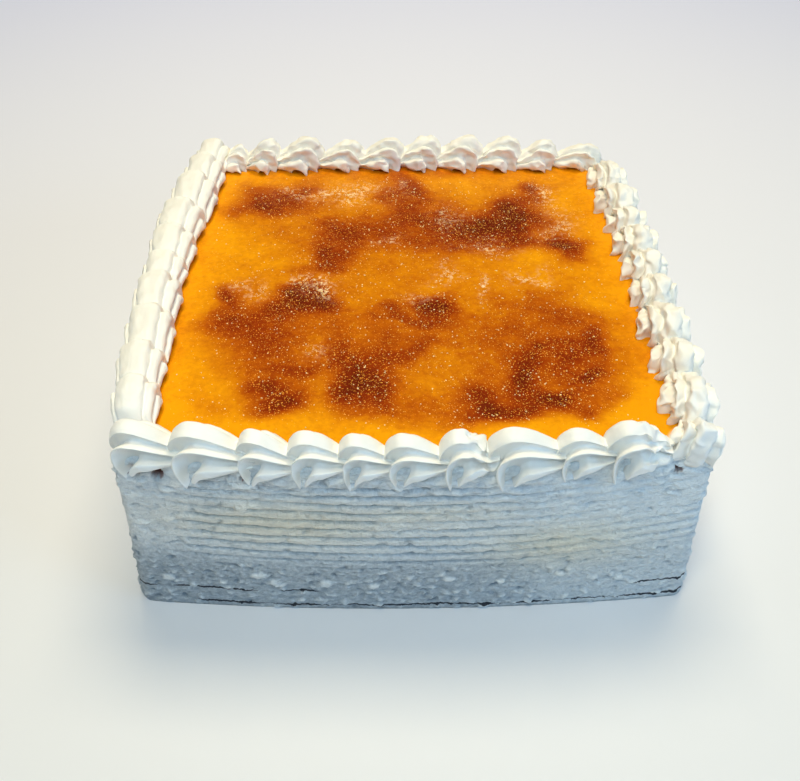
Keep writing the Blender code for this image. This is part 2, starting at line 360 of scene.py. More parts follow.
# The yolk's colours from untouched to scorched.
YOLK_TONES = (
    (0.03, (0.88, 0.345, 0.0025)),
    (0.18, (0.70, 0.220, 0.0020)),
    (0.36, (0.49, 0.100, 0.0016)),
    (0.56, (0.31, 0.036, 0.0014)),
    (0.76, (0.21, 0.018, 0.0018)),
    (0.98, (0.13, 0.009, 0.0022)),
)


def soften(shader, weight):
    """Lets light spread a little way into the cream."""
    shader.inputs["Subsurface Weight"].default_value = weight
    shader.inputs["Subsurface Radius"].default_value = (1.0, 0.85, 0.62)
    shader.inputs["Subsurface Scale"].default_value = 0.0012
    shader.inputs["Specular IOR Level"].default_value = 0.30


def crack_node(tree, height, wave, thickness, present):
    """A mask for one thin crack round the cake, painted dark with the shade inside it. wave is how
    far it wanders up and down.
    """
    level = (1, 1, 0.02)
    slow = scaled_node(tree, noise_node(tree, 34, 2, 0.5, level), 0.5, wave)
    jagged = scaled_node(tree, noise_node(tree, 420, 3, 0.6, level), 0.5, 0.0022)
    middle = math_node(tree, "ADD", math_node(tree, "ADD", slow, jagged), height)
    off = math_node(tree, "SUBTRACT", axis_node(tree, "Z"), middle)
    off = math_node(tree, "ABSOLUTE", off, 0.0)
    half = math_node(tree, "MULTIPLY", noise_node(tree, 150, 3, 0.6, level), thickness)
    half = math_node(tree, "MULTIPLY", half, present)
    return scaled_node(tree, half, off, 5000.0, clamp=True)


def coat_material():
    """Whipped cream drawn with a comb: matt and torn, with painted shade in its grooves, pits and
    cracks, painted light on its raised flecks, painted warm and cool light on the front, and sponge
    in its holes.
    """
    material, tree, shader = new_material("combed_cream", CREAM_COLOUR, 0.7)
    soften(shader, 0.0)
    mottle = noise_node(tree, 420, detail=5, roughness=0.65, stretch=(1, 1, 1.5))
    mottle = scaled_node(tree, mottle, 0.5, 0.85)
    tone = math_node(tree, "ADD", attribute_node(tree, "tone"), mottle, clamp=True)
    cream = ramp_node(tree, tone, COAT_SHADE_TO_LIGHT_TONES)
    # Painted warm light on stretches of the front, and painted cool light over the front, most to
    # the right.
    cream = mix_node(tree, attribute_node(tree, "painted_warm_light"), cream, (1.0, 0.885, 0.69), "MULTIPLY")
    cream = mix_node(tree, attribute_node(tree, "painted_cool_light"), cream, (0.92, 0.975, 1.0), "MULTIPLY")
    upper = crack_node(tree, 0.0112, 0.0050, 0.0011, attribute_node(tree, "upper_crack"))
    lower = crack_node(tree, 0.0030, 0.0030, 0.0013, attribute_node(tree, "lower_crack"))
    crack_shade = math_node(tree, "MAXIMUM", upper, lower)
    # The cracks are painted near black: painted shade in real cracks.
    cream = mix_node(tree, crack_shade, cream, CRACK_SHADE_COLOUR)
    cream = mix_node(tree, attribute_node(tree, "sponge"), cream, SPONGE_COLOUR)
    tree.links.new(cream, shader.inputs["Base Color"])
    fine = noise_node(tree, 1100, detail=6, roughness=0.65, stretch=(1, 1, 1.3))
    torn = noise_node(tree, 420, detail=4, roughness=0.6, stretch=(1, 1, 1.5))
    normal = bump_node(tree, torn, 0.0018, 0.9)
    tree.links.new(bump_node(tree, fine, 0.0006, 0.9, normal), shader.inputs["Normal"])
    return material


def piped_material():
    """Smooth piped cream with the faintest grain, and painted warm light on the rows behind the
    front row.
    """
    material, tree, shader = new_material("piped_cream", CREAM_COLOUR, 0.5)
    soften(shader, 0.04)
    shade = noise_node(tree, 120, detail=3)
    colour = ramp_node(tree, shade, [(0.3, (0.92, 0.905, 0.86)), (0.7, (0.955, 0.94, 0.89))])
    # Painted warm light reflected from the yolk tints the rows behind the front row.
    behind = scaled_node(tree, axis_node(tree, "Y"), -0.098, 30.0, clamp=True)
    colour = mix_node(tree, behind, colour, (1.0, 0.975, 0.93), "MULTIPLY")
    tree.links.new(colour, shader.inputs["Base Color"])
    grain = noise_node(tree, 1300, detail=4)
    tree.links.new(bump_node(tree, grain, 0.00012, 0.35), shader.inputs["Normal"])
    return material


def yolk_material():
    """Egg yolk cooked with sugar and scorched: yellow, then orange, then dark brown."""
    material, tree, shader = new_material("toasted_yolk", (0.80, 0.30, 0.02), 0.34)
    shader.inputs["Specular IOR Level"].default_value = 0.10
    shader.inputs["Specular Tint"].default_value = (1.0, 0.55, 0.12, 1)
    fine = noise_node(tree, 420, detail=6, roughness=0.7)
    broad = noise_node(tree, 90, detail=5, roughness=0.6)
    toast = attribute_node(tree, "toast")
    speckle = scaled_node(tree, fine, 0.5, 0.34)
    blotch = scaled_node(tree, noise_node(tree, 260, 5, 0.7), 0.5, 0.8)
    speckle = math_node(tree, "ADD", speckle, math_node(tree, "MULTIPLY", blotch, toast))
    drift = scaled_node(tree, broad, 0.5, 0.22)
    amount = math_node(tree, "ADD", math_node(tree, "ADD", toast, speckle), drift, clamp=True)
    colour = ramp_node(tree, amount, YOLK_TONES)
    clumps = scaled_node(tree, noise_node(tree, 480, 4, 0.7), 0.50, 9.0, clamp=True)
    frost = math_node(tree, "MULTIPLY", attribute_node(tree, "frost"), 1.5, clamp=True)
    powder = math_node(tree, "MULTIPLY", frost, clumps, clamp=True)
    colour = mix_node(tree, powder, colour, POWDER_COLOUR)
    # Painted glints: bright orange specks on the scorched parts stand in for light caught by sugar
    # crystals.
    painted_glints = scaled_node(tree, noise_node(tree, 1500, 2, 0.7), 0.60, 14.0, clamp=True)
    scorched = math_node(tree, "MULTIPLY", amount, 1.5, clamp=True)
    painted_glints = math_node(tree, "MULTIPLY", painted_glints, scorched)
    colour = mix_node(tree, painted_glints, colour, PAINTED_GLINT_COLOUR)
    colour = mix_node(tree, attribute_node(tree, "smeared"), colour, CREAM_COLOUR)
    tree.links.new(colour, shader.inputs["Base Color"])
    gloss = math_node(tree, "ADD", math_node(tree, "MULTIPLY", fine, 0.35), 0.20)
    tree.links.new(gloss, shader.inputs["Roughness"])
    normal = bump_node(tree, broad, 0.0008, 0.35)
    tree.links.new(bump_node(tree, fine, 0.0004, 0.5, normal), shader.inputs["Normal"])
    return material


def sugar_material(name, colour, roughness):
    """Sugar grains, each a little different in tone."""
    material, tree, shader = new_material(name, colour, roughness)
    shader.inputs["Specular IOR Level"].default_value = 0.25
    tone = noise_node(tree, 700, detail=1)
    darker = tuple(channel * 0.78 for channel in colour)
    tones = ramp_node(tree, tone, [(0.35, darker), (0.6, colour)])
    tree.links.new(tones, shader.inputs["Base Color"])
    return material


def floor_material():
    """A pale floor that glows faintly far behind the cake, so that it stays even there."""
    material, tree, shader = new_material("pale_floor", (0.87, 0.865, 0.87), 0.8)
    shader.inputs["Emission Color"].default_value = (0.45, 0.52, 0.85, 1)
    behind = scaled_node(tree, axis_node(tree, "Y"), -0.1, 0.5, clamp=True)
    tree.links.new(behind, shader.inputs["Emission Strength"])
    colour = mix_node(tree, behind, (0.80, 0.795, 0.81), (0.93, 0.925, 0.90))
    tree.links.new(colour, shader.inputs["Base Color"])
    return material


# ---------------------------------------------------------------- the coat


class Columns:
    """Upright lines round the block: their feet, how their tops lean, and their ways outwards."""

    def __init__(self, counts, corner_count):
        feet, leans, ways = [], [], []
        for side, following in zip(SIDES, SIDES[1:] + SIDES[:1]):
            spots = np.linspace(CORNER_RADIUS, side.length - CORNER_RADIUS, counts[side.name] + 1)
            for along in spots[:-1]:
                feet.append(side.point(along, 0, 0))
                leans.append(side.point(along, 0, HEIGHT) - feet[-1])
                ways.append(side.outward)
            into, into_top = side.point(spots[-1], 0, 0), side.point(spots[-1], 0, HEIGHT)
            out_of = following.point(CORNER_RADIUS, 0, 0)
            out_top = following.point(CORNER_RADIUS, 0, HEIGHT)
            for step in range(corner_count):
                t = step / corner_count
                a, b, c = (1 - t) ** 2, 2 * t * (1 - t), t**2
                feet.append(into * a + following.start * b + out_of * c)
                leans.append((into_top - into) * a + (out_top - out_of) * c)
                diagonal = side.outward + side.direction
                ways.append(side.outward * a + diagonal * b + following.outward * c)
        self.feet, self.leans, self.ways = np.array(feet), np.array(leans), np.array(ways)
        self.count = len(feet)

    def ring(self, offset, height):
        """The closed ring of points at a height, offset outwards."""
        offset = np.broadcast_to(offset, self.count)
        height = np.broadcast_to(height, self.count)
        spots = self.feet + self.leans * (height / HEIGHT)[:, None] + self.ways * offset[:, None]
        return np.column_stack((spots, height))


def flare(height):
    """How far the cream spreads outwards at a height, most at the foot."""
    return FOOT_FLARE * np.maximum(0, 1 - height / (HEIGHT - EDGE_DROP)) ** 1.5


# Where the comb opened a hole that shows sponge, on the front: across, up and half-sizes.
SPONGE_HOLES = (
    (-0.0960, 0.0722, 0.0026, 0.0018), (-0.0872, 0.0712, 0.0020, 0.0018),
    (-0.0562, 0.0722, 0.0018, 0.0010), (0.0750, 0.0722, 0.0010, 0.0010),
    (0.0924, 0.0714, 0.0012, 0.0010),
)
# Flecks of cream that stand off the front and are painted paler, a painted highlight: across, up
# and half-sizes.
FLECKS = (
    (-0.0921, 0.0160, 0.0024, 0.0013), (-0.0565, 0.0198, 0.0032, 0.0013),
    (-0.0508, 0.0158, 0.0021, 0.0018), (-0.0322, 0.0160, 0.0026, 0.0019),
    (-0.0140, 0.0150, 0.0019, 0.0013), (0.0146, 0.0190, 0.0019, 0.0013),
    (0.0341, 0.0163, 0.0017, 0.0012), (0.0567, 0.0194, 0.0018, 0.0011),
    (0.0800, 0.0150, 0.0018, 0.0012), (-0.0604, 0.0566, 0.0025, 0.0013),
    (-0.0005, 0.0620, 0.0015, 0.0010), (-0.0594, 0.0690, 0.0038, 0.0011),
    (-0.0801, 0.0672, 0.0022, 0.0016), (-0.0210, 0.0688, 0.0019, 0.0009),
    (-0.0044, 0.0690, 0.0015, 0.0008),
)
# Stretches of the front with painted warm light, fainter and warmer: across, up, half-length,
# half-height and strength.
PAINTED_WARM_STRETCHES = (
    (-0.045, 0.050, 0.042, 0.013, 0.85), (0.000, 0.055, 0.040, 0.008, 0.55),
    (0.055, 0.036, 0.030, 0.013, 0.80), (0.020, 0.045, 0.030, 0.010, 0.30),
)


def front_share(y):
    """1 on the front of the block, 0 on its other sides."""
    return smooth_step(-0.098, -0.102, y)


def comb_strength(x, y, flat_height):
    """How clearly the comb's lines show: on the front best from the left to the middle."""
    front = front_share(y)
    across = smooth_step(-0.092, -0.070, x) * (1 - 0.55 * smooth_step(0.010, 0.055, x))
    on_front = across * smooth_step(0.024, 0.036, flat_height)
    elsewhere = 0.60 * smooth_step(0.010, 0.020, flat_height)
    return (on_front * front + elsewhere * (1 - front)) * smooth_step(0.0735, 0.0700, flat_height)


def coat_relief(points, flat_height):
    """How far the cream stands out at points of the sides, and its tone there with painted shade
    and painted light, 0 to 1.
    """
    x, y, z = points.T
    front = front_share(y)
    patchy = np.clip(0.80 + 0.9 * bumps(points, (0.030, 0.030, 0.012), 3), 0.15, 1)
    combed = comb_strength(x, y, flat_height) * patchy
    wander = 0.0009 * bumps(points, (0.070, 0.070, 0.030), 5)
    wander += 0.0003 * bumps(points, (0.012, 0.012, 0.004), 6)
    phase = (flat_height + wander) / COMB_PITCH % 1
    groove = smooth_step(0.0, 0.12, phase) * smooth_step(0.44, 0.30, phase)
    out = (0.0003 - 0.0018 * groove) * combed
    # Painted shade darkens the comb's grooves.
    tone = 0.79 - 0.40 * groove * combed
    # Broad unevenness, then torn scales that are longer than they are high, then pits: the scales
    # get painted light and the pits painted shade.
    out += 0.00040 * rough(points, (0.022, 0.022, 0.010), 3, 21)
    low = smooth_step(0.044, 0.022, flat_height)
    scales = rough(points, (0.0062, 0.0062, 0.0024), 3, 12) * (1 - low)
    scales += rough(points, (0.0034, 0.0034, 0.0020), 3, 14) * low
    flakes = np.maximum(scales - 0.16, 0) * (1.15 - 0.95 * combed)
    out += 0.0026 * flakes
    tone += 0.85 * flakes
    pits = np.maximum(rough(points, (0.0040, 0.0040, 0.0022), 2, 17) - 0.22, 0)
    out -= 0.0026 * pits
    tone -= 0.95 * pits
    streaks = bumps(points, (0.030, 0.030, 0.0013), 8)
    out += 0.00022 * streaks * combed
    # Painted light: the streaks are a little lighter where they stand out.
    tone += 0.05 * streaks
    # The foot is rough and painted in shade, with crumbs of cream along the upper crack that are
    # painted lighter where they stand out: painted light.
    crumbs = np.maximum(rough(points, (0.0046, 0.0046, 0.0034), 2, 24) - 0.34, 0)
    crumbs *= smooth_step(0.007, 0.010, z) * smooth_step(0.024, 0.014, z)
    out += 0.0040 * crumbs
    shade = 0.10 + front * (0.37 - 0.16 * smooth_step(0.03, 0.06, x))
    tone += 1.1 * crumbs - shade * low
    # Torn cream just under the shells, painted lighter where it stands out, and painted shade
    # there.
    high = smooth_step(0.0655, 0.0690, flat_height)
    torn = rough(points, (0.0060, 0.0060, 0.0022), 2, 27)
    out += 0.0014 * high * torn
    tone += high * (0.55 * np.maximum(torn, 0) - 0.10)
    # Painted light: the front is lighter to the right, and painted shade makes it darker at its
    # left end.
    tone += front * (0.11 * smooth_step(0.0, 0.09, x) - 0.06 * smooth_step(-0.06, -0.09, x))
    return out, tone


def near_spots(x, z, spots):
    """The strongest of soft round spots on the front, at each place."""
    amount = np.zeros(len(x))
    for across, up, half_length, half_height in spots:
        distance = np.hypot((x - across) / half_length, (z - up) / half_height)
        amount = np.maximum(amount, smooth_step(1.25, 0.75, distance))
    return amount


def make_coat(material):
    """The cream over the block: combed sides, a soft edge and a lip round the recess."""
    columns = Columns(COAT_COLUMNS, CORNER_COLUMNS)
    low, high = 0.0016, HEIGHT - EDGE_DROP * 0.55
    heights = np.linspace(low, high, round((high - low) / COAT_ROW_HEIGHT))
    rings = [columns.ring(flare(0.0) - 0.0012, 0.0)]
    # The bottom ring is painted darker: painted shade where the cake meets the floor.
    tones = [np.full(columns.count, 0.35)]
    for height in heights:
        ring = columns.ring(flare(height), height)
        x, y, z = ring.T
        # The comb's lines hang lower in the middle of the front and climb near its right end.
        sag = 0.0030 * (1 - (x / 0.105) ** 2) - 0.11 * np.maximum(x - 0.045, 0) ** 1.2
        sag *= smooth_step(-0.09, -0.10, y) * smooth_step(0.0, 0.03, z)
        out, tone = coat_relief(ring, z + sag)
        rounding = -0.0012 * smooth_step(HEIGHT - EDGE_DROP * 1.2, high, height)
        ragged_x = x + 0.0010 * bumps(ring, (0.0016,) * 3, 44)
        ragged_z = z + 0.0006 * bumps(ring, (0.0016,) * 3, 45)
        flecks = near_spots(ragged_x, ragged_z, FLECKS) * (y < -0.09)
        holes = near_spots(ragged_x, ragged_z, SPONGE_HOLES) * (y < -0.09)
        # The flecks are painted lighter: painted light.
        tone += 0.55 * flecks
        out = np.minimum(out + 0.0012 * flecks, RELIEF_LIMIT) - 0.0034 * holes
        # Where the left side bows out furthest, its relief keeps inside the solid's box.
        out -= 0.0002 * (x < -0.1125)
        rings.append(columns.ring(flare(height) - RELIEF_LIMIT + out + rounding, height))
        tones.append(tone)
    edge = bumps(columns.ring(0, HEIGHT), (0.006, 0.006, 0.006), 41) * 0.0004
    rings.append(columns.ring(-0.0021 + edge, HEIGHT - EDGE_DROP * 0.20))
    rings.append(columns.ring(-0.0034 + edge, HEIGHT - EDGE_DROP * 0.02))
    rings.append(columns.ring(-LIP, HEIGHT))
    rings.append(columns.ring(-LIP, HEIGHT - YOLK_THICKNESS - GAP))
    tones += [np.full(columns.count, 0.7)] * 4
    faces = ring_faces(len(rings), columns.count)
    last = (len(rings) - 1) * columns.count
    faces.append(tuple(range(columns.count)))
    faces.append(tuple(range(last, last + columns.count)))
    points = np.concatenate(rings)
    coat = add_piece("cream_coat", points, faces, material)
    x, y, z = points.T
    front = smooth_step(-0.085, -0.10, y)
    # Painted warm light on stretches of the front; below it, painted cool light that grows to the
    # right.
    painted_warm_light = np.zeros(len(x))
    for across, up, half_length, half_height, strength in PAINTED_WARM_STRETCHES:
        spread = ((x - across) / half_length) ** 2 + ((z - up) / half_height) ** 2
        painted_warm_light = np.maximum(painted_warm_light, strength * np.exp(-spread))
    upper = smooth_step(-0.025, -0.040, x) + smooth_step(0.082, 0.092, x)
    lower = smooth_step(-0.088, -0.075, x)
    broken = smooth_step(-0.25, 0.10, bumps(points, (0.018, 0.018, 1), 36))
    add_attribute(coat, "tone", np.concatenate(tones) + 0.10 * painted_warm_light * front)
    add_attribute(coat, "sponge", near_spots(x, z, SPONGE_HOLES) * front)
    add_attribute(coat, "painted_warm_light", painted_warm_light * front)
    add_attribute(coat, "painted_cool_light", (0.65 + 0.35 * smooth_step(0.0, 0.09, x) - 0.4 * painted_warm_light) * front)
    add_attribute(coat, "upper_crack", (upper * front + (1 - front) * 0.6) * broken)
    lower = np.maximum(lower * front, 0.5 * (1 - front))
    add_attribute(coat, "lower_crack", lower * (0.4 + 0.6 * broken))
    return coat


# ---------------------------------------------------------------- the yolk

# Where the iron scorched the yolk: across, back, half-sizes, turn in degrees and strength.
TOASTED_PATCHES = (
    (0.000, 0.098, 0.090, 0.012, 0, 0.20),
    (0.005, -0.080, 0.020, 0.010, 0, 0.20),
    (0.000, 0.042, 0.072, 0.034, 8, 0.30),
    (0.000, -0.038, 0.078, 0.040, 0, 0.24),
    (0.055, -0.034, 0.026, 0.030, 0, 0.28),
    (-0.056, -0.034, 0.026, 0.024, 0, 0.30),
    (-0.058, 0.068, 0.020, 0.014, 0, 0.45),
    (-0.066, 0.065, 0.007, 0.008, 0, 0.35),
    (-0.047, 0.083, 0.008, 0.006, 0, 0.35),
    (0.000, 0.080, 0.012, 0.009, 0, 0.45),
    (0.003, 0.063, 0.011, 0.012, 0, 0.38),
    (0.008, 0.048, 0.018, 0.010, 0, 0.25),
    (-0.026, 0.038, 0.016, 0.011, 30, 0.38),
    (-0.034, 0.018, 0.012, 0.009, 30, 0.48),
    (0.045, 0.048, 0.014, 0.013, 20, 0.85),
    (0.034, 0.041, 0.008, 0.009, 0, 0.50),
    (0.047, 0.036, 0.015, 0.008, 0, 0.40),
    (0.056, 0.068, 0.012, 0.009, 40, 0.40),
    (0.062, 0.081, 0.014, 0.005, 10, 0.45),
    (0.073, 0.024, 0.010, 0.010, 0, 0.65),
    (0.020, 0.030, 0.022, 0.014, 0, 0.25),
    (-0.046, -0.013, 0.013, 0.009, -10, 0.68),
    (-0.036, -0.018, 0.006, 0.006, 0, 0.35),
    (-0.070, -0.010, 0.005, 0.008, 0, 0.45),
    (-0.066, -0.026, 0.014, 0.012, 0, 0.25),
    (0.013, -0.020, 0.006, 0.008, 0, 0.75),
    (0.000, -0.024, 0.013, 0.005, 0, 0.40),
    (-0.016, -0.052, 0.011, 0.013, 0, 0.50),
    (-0.014, -0.069, 0.010, 0.011, 0, 0.72),
    (-0.045, -0.058, 0.022, 0.006, 5, 0.38),
    (-0.050, -0.073, 0.012, 0.007, 0, 0.58),
    (0.000, -0.044, 0.010, 0.010, 0, 0.28),
    (0.043, -0.065, 0.008, 0.011, 0, 0.78),
    (0.052, -0.048, 0.011, 0.007, 15, 0.55),
    (0.067, -0.063, 0.008, 0.009, 0, 0.68),
    (0.055, -0.077, 0.014, 0.005, 6, 0.75),
    (0.034, -0.084, 0.009, 0.006, 0, 0.85),
    (0.026, -0.074, 0.009, 0.008, 0, 0.45),
    (0.071, -0.042, 0.008, 0.006, 0, 0.45),
)
# Where sugar lies like powder: across, back, half-sizes, turn in degrees and strength.
POWDERED_PATCHES = (
    (-0.056, 0.077, 0.006, 0.005, 0, 0.8),
    (-0.030, 0.076, 0.014, 0.007, 0, 0.9),
    (-0.004, 0.081, 0.005, 0.004, 0, 0.5),
    (-0.042, -0.001, 0.005, 0.004, 0, 1.0),
    (-0.035, -0.008, 0.006, 0.005, 0, 1.0),
    (0.068, 0.073, 0.007, 0.009, 0, 1.0),
    (0.070, 0.045, 0.007, 0.012, 0, 0.6),
    (0.036, 0.025, 0.013, 0.005, 0, 0.5),
    (0.024, 0.050, 0.006, 0.009, 0, 0.35),
    (0.015, 0.002, 0.005, 0.004, 0, 0.7),
    (0.034, -0.004, 0.003, 0.005, 0, 0.9),
    (0.056, 0.002, 0.005, 0.004, 0, 0.7),
    (0.007, -0.011, 0.004, 0.003, 0, 0.8),
    (-0.008, 0.032, 0.005, 0.004, 0, 0.5),
    (-0.033, -0.047, 0.004, 0.004, 0, 0.5),
    (-0.064, -0.002, 0.004, 0.003, 0, 0.6),
)


def yolk_height(x, y):
    """Height of the toasted top, as in the solid."""
    waves = np.sin(x * 61 + 0.6) * np.cos(y * 47 - 0.4) + 0.6 * np.sin((x + y) * 93 + 1.3)
    return HEIGHT - GAP / 2 - YOLK_SAG * (0.5 + 0.31 * waves)


def patches(points, spots):
    """How strongly soft, uneven oval patches cover each point, from 0 up."""
    wobble = 0.010 * np.column_stack([bumps(points, (0.016,) * 3, seed) for seed in (51, 52)])
    total = np.zeros(len(points))
    for across, back, half_length, half_width, turn, strength in spots:
        c, s = math.cos(math.radians(turn)), math.sin(math.radians(turn))
        dx, dy = points[:, 0] + wobble[:, 0] - across, points[:, 1] + wobble[:, 1] - back
        spread = ((dx * c + dy * s) / half_length) ** 2 + ((dy * c - dx * s) / half_width) ** 2
        total = 1 - (1 - total) * (1 - strength * np.exp(-spread))
    return total


def recess_place(u, v, inset):
    """The place in the recess at shares u of the way right and v of the way back."""
    x, y = LEFT + WIDTH * u, FRONT + DEPTH * v
    front, right, back, left = SIDES
    for _ in range(3):
        low = np.array([front.point(spot - LEFT, -inset)[1] for spot in x])
        high = np.array([back.point(RIGHT - spot, -inset)[1] for spot in x])
        y = low + (high - low) * v
        near = np.array([left.point(BACK - spot, -inset)[0] for spot in y])
        far = np.array([right.point(spot - FRONT, -inset)[0] for spot in y])
        x = near + (far - near) * u
    return x, y


def make_yolk(material):
    """The slab of yolk: a fine grid on top, and straight edges down to a flat underside."""
    count = YOLK_COLUMNS + 1
    steps = np.linspace(0, 1, count)
    u, v = (grid.ravel() for grid in np.meshgrid(steps, steps))
    x, y = recess_place(u, v, LIP + GAP)
    top = np.column_stack((x, y, yolk_height(x, y)))
    toast = patches(top, TOASTED_PATCHES)
    toast *= 1 + 0.40 * rough(top, (0.011, 0.011, 0.011), 3, 61)
    toast = 1.22 * toast + 0.07 * rough(top, (0.035, 0.035, 0.035), 2, 64)
    frost = patches(top, POWDERED_PATCHES)
    frost *= np.clip(0.75 + 0.8 * rough(top, (0.005, 0.005, 0.005), 2, 71), 0, 1)
    near_edge = smooth_step(0.092, 0.080, np.abs(x)) * smooth_step(0.092, 0.086, np.abs(y))
    # Cream from the rows is smeared on the yolk's rim and, more widely, in its corners.
    from_side, from_end = WIDTH * np.minimum(u, 1 - u), DEPTH * np.minimum(v, 1 - v)
    smeared = smooth_step(0.0040, 0.0030, np.minimum(from_side, from_end))
    smeared = np.maximum(smeared, smooth_step(0.0150, 0.0130, np.hypot(from_side, from_end)))
    clumps = np.clip(0.75 + 0.9 * rough(top, (0.007, 0.007, 0.007), 2, 74), 0.15, 1.5)
    grainy = np.clip(0.15 + 0.95 * toast + 0.3 * frost, 0, 1) * clumps * near_edge
    clumps = np.clip(0.25 + 2.4 * rough(top, (0.0032, 0.0032, 0.0032), 2, 75), 0, 1.6)
    powdery = np.clip(frost - 0.08, 0, 1) * clumps * near_edge
    crust = np.clip(0.3 + toast * 2, 0.3, 1)
    top[:, 2] += 0.00018 * rough(top, (0.004, 0.004, 0.004), 2, 67) * crust
    faces = [
        (i, i + 1, i + 1 + count, i + count)
        for row in range(count - 1) for i in range(row * count, row * count + count - 1)
    ]
    last = count - 1
    rim = list(range(last)) + [last + count * i for i in range(last)]
    rim += [count * last + last - i for i in range(last)]
    rim += [count * (last - i) for i in range(last)]
    first = len(top)
    underside = top[rim].copy()
    underside[:, 2] = HEIGHT - YOLK_THICKNESS
    for i in range(len(rim)):
        j = (i + 1) % len(rim)
        faces.append((rim[i], first + i, first + j, rim[j]))
    faces.append(tuple(range(first, first + len(rim))))
    yolk = add_piece("toasted_yolk", np.concatenate((top, underside)), faces, material)
    padding = np.zeros(len(underside))
    add_attribute(yolk, "toast", np.concatenate((np.clip(toast, 0, 1), padding)))
    add_attribute(yolk, "smeared", np.concatenate((smeared, padding + 1)))
    add_attribute(yolk, "frost", np.concatenate((np.clip(frost, 0, 1), padding)))
    add_attribute(yolk, "grainy", np.concatenate((grainy, padding)))
    add_attribute(yolk, "powdery", np.concatenate((powdery, padding)))
    return yolk


def grain_tree(name, material, attribute):
    """Geometry Nodes that strew faceted grains over a surface, more where it is toasted."""
    tree = bpy.data.node_groups.new(name, "GeometryNodeTree")
    face = tree.interface
    face.new_socket("Surface", in_out="INPUT", socket_type="NodeSocketGeometry")
    for label, kind, value in (
        ("Grains per Square Metre", "NodeSocketFloat", 500000.0),
        ("Grain Size", "NodeSocketFloat", 0.0005),
        ("Seed", "NodeSocketInt", 1),
    ):
        face.new_socket(label, in_out="INPUT", socket_type=kind).default_value = value
    face.new_socket("Grains", in_out="OUTPUT", socket_type="NodeSocketGeometry")
    node = {}
    for label, kind in (
        ("input", "NodeGroupInput"),
        ("output", "NodeGroupOutput"),
        ("where", "GeometryNodeInputNamedAttribute"),
        ("density", "ShaderNodeMath"),
        ("strew", "GeometryNodeDistributePointsOnFaces"),
        ("grain", "GeometryNodeMeshCube"),
        ("turn", "FunctionNodeRandomValue"),
        ("size", "FunctionNodeRandomValue"),
        ("place", "GeometryNodeInstanceOnPoints"),
        ("realize", "GeometryNodeRealizeInstances"),
        ("finish", "GeometryNodeSetMaterial"),
    ):
        node[label] = tree.nodes.new(kind)
    node["where"].data_type = "FLOAT"
    node["where"].inputs["Name"].default_value = attribute
    node["density"].operation = "MULTIPLY"
    node["turn"].data_type = node["size"].data_type = "FLOAT_VECTOR"
    node["turn"].inputs["Max"].default_value = (2 * math.pi,) * 3
    node["size"].inputs["Min"].default_value = (0.35, 0.35, 0.30)
    node["size"].inputs["Max"].default_value = (1.25, 1.0, 0.9)
    node["finish"].inputs["Material"].default_value = material
    for source, output, target, socket in (
        ("input", "Surface", "strew", "Mesh"),
        ("where", "Attribute", "density", 0),
        ("input", "Grains per Square Metre", "density", 1),
        ("density", 0, "strew", "Density"),
        ("input", "Seed", "strew", "Seed"),
        ("input", "Seed", "turn", "Seed"),
        ("input", "Grain Size", "grain", "Size"),
        ("strew", "Points", "place", "Points"),
        ("grain", "Mesh", "place", "Instance"),
        ("turn", "Value", "place", "Rotation"),
        ("size", "Value", "place", "Scale"),
        ("place", "Instances", "realize", "Geometry"),
        ("realize", "Geometry", "finish", "Geometry"),
        ("finish", "Geometry", "output", "Grains"),
    ):
        tree.links.new(node[source].outputs[output], node[target].inputs[socket])
    return tree


def make_sugar(name, surface, material, attribute, per_square_metre, size, seed):
    """Sugar grains that lie on the yolk, as one mesh."""
    piece = bpy.data.objects.new(name, surface.data.copy())
    bpy.context.scene.collection.objects.link(piece)
    tree = grain_tree(name, material, attribute)
    modifier = piece.modifiers.new("Strew", "NODES")
    modifier.node_group = tree
    values = {"Grains per Square Metre": per_square_metre, "Grain Size": size, "Seed": seed}
    for item in tree.interface.items_tree:
        if item.item_type == "SOCKET" and item.in_out == "INPUT" and item.name in values:
            modifier[item.identifier] = values[item.name]
    plain_mesh(piece)
    return piece


# ---------------------------------------------------------------- the piped shells

# Half of a shell's section, from the ridge at its outer side up to the crest: shares of the
# half-width and of the height. The grooves between the three ridges are sharp and deep.
OUTER_HALF = (
    (0.38, -0.34), (0.60, -0.22), (0.80, -0.10), (0.91, 0.02), (0.955, 0.14), (0.965, 0.23),
    (0.955, 0.29), (0.92, 0.31), (0.82, 0.285), (0.66, 0.235), (0.50, 0.20), (0.38, 0.20),
    (0.33, 0.25), (0.31, 0.36), (0.36, 0.50), (0.47, 0.63), (0.59, 0.73), (0.665, 0.785),
    (0.68, 0.82), (0.645, 0.835), (0.54, 0.80), (0.42, 0.73), (0.30, 0.66), (0.215, 0.64),
    (0.165, 0.67), (0.135, 0.74), (0.13, 0.82), (0.155, 0.90), (0.205, 0.945), (0.215, 0.975),
    (0.15, 0.985), (0.04, 0.99),
)
# The other three rows are rounder, with shallow grooves.
SOFT_HALF = (
    (0.38, -0.34), (0.62, -0.22), (0.82, -0.08), (0.93, 0.04), (0.965, 0.16), (0.955, 0.27),
    (0.88, 0.33), (0.76, 0.31), (0.66, 0.31), (0.64, 0.37), (0.70, 0.48), (0.76, 0.58),
    (0.78, 0.68), (0.73, 0.745), (0.62, 0.74), (0.51, 0.70), (0.42, 0.69), (0.38, 0.75),
    (0.37, 0.84), (0.34, 0.92), (0.26, 0.965), (0.12, 0.985),
)
